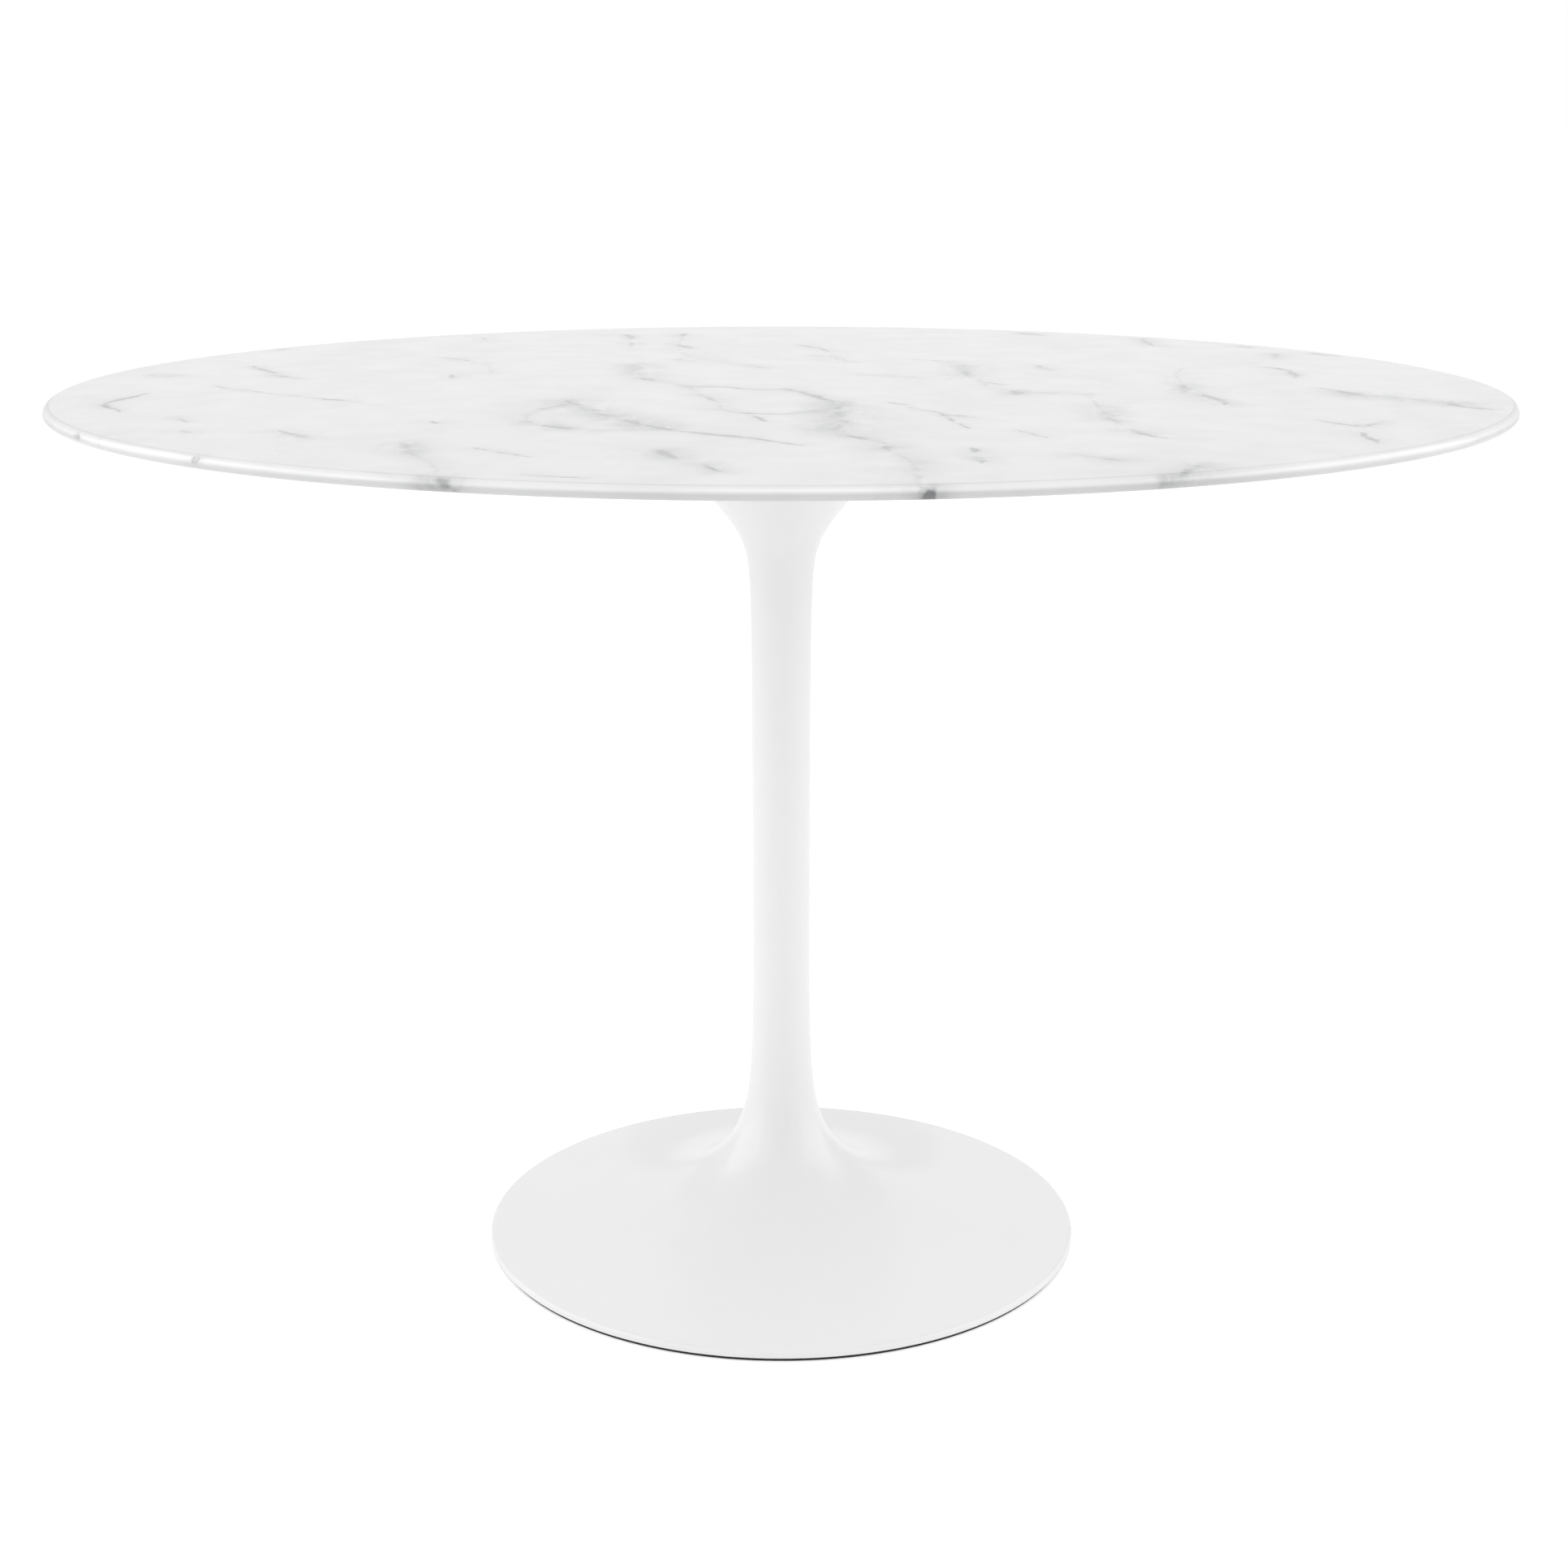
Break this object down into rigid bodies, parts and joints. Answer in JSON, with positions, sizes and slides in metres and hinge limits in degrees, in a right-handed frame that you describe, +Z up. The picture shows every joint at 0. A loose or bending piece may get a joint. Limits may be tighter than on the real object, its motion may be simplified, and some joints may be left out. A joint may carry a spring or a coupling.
{
  "type": "round pedestal table",
  "caption": "Round dining table: veined white slab top with a thin rounded edge on a one-piece white flared pedestal with a wide round foot and a rubber floor ring.",
  "frame": {"origin": "centre of the foot's ring on the floor", "axes": "+Z up along the stem, +X to the right and +Y away from a person in front; the table is turned about +Z"},
  "size_m": [1.1838, 1.184, 0.75],
  "materials": {
    "marble": "polished white artificial marble with soft grey veins",
    "board_paint": "fibreboard, sprayed satin white",
    "lacquer": "high-gloss white lacquer on a hollow metal casting",
    "plate_paint": "white powder coat, fine texture",
    "zinc_steel": "bright zinc plate",
    "brass": "plain brass",
    "grey_iron": "rough cast, dark primer",
    "pad_rubber": "matt grey rubber sheet",
    "black_rubber": "matt black rubber"
  },
  "bodies": {
    "root": {"marble_top": "marble", "top_core": "board_paint", "threaded_inserts": "brass", "mounting_plate": "plate_paint", "plate_screws": "zinc_steel", "plate_lock_washers": "zinc_steel", "plate_flat_washers": "zinc_steel", "plate_hub": "zinc_steel", "head_pad": "pad_rubber", "pedestal": "lacquer", "tie_rod": "zinc_steel", "rod_jam_nut": "zinc_steel", "clamp_plate": "zinc_steel", "rod_flat_washer": "zinc_steel", "rod_lock_washer": "zinc_steel", "rod_nut": "zinc_steel", "ballast_ring": "grey_iron", "ballast_bolts": "zinc_steel", "ballast_lock_washers": "zinc_steel", "ballast_flat_washers": "zinc_steel", "floor_ring": "black_rubber"}
  },
  "joints": []
}
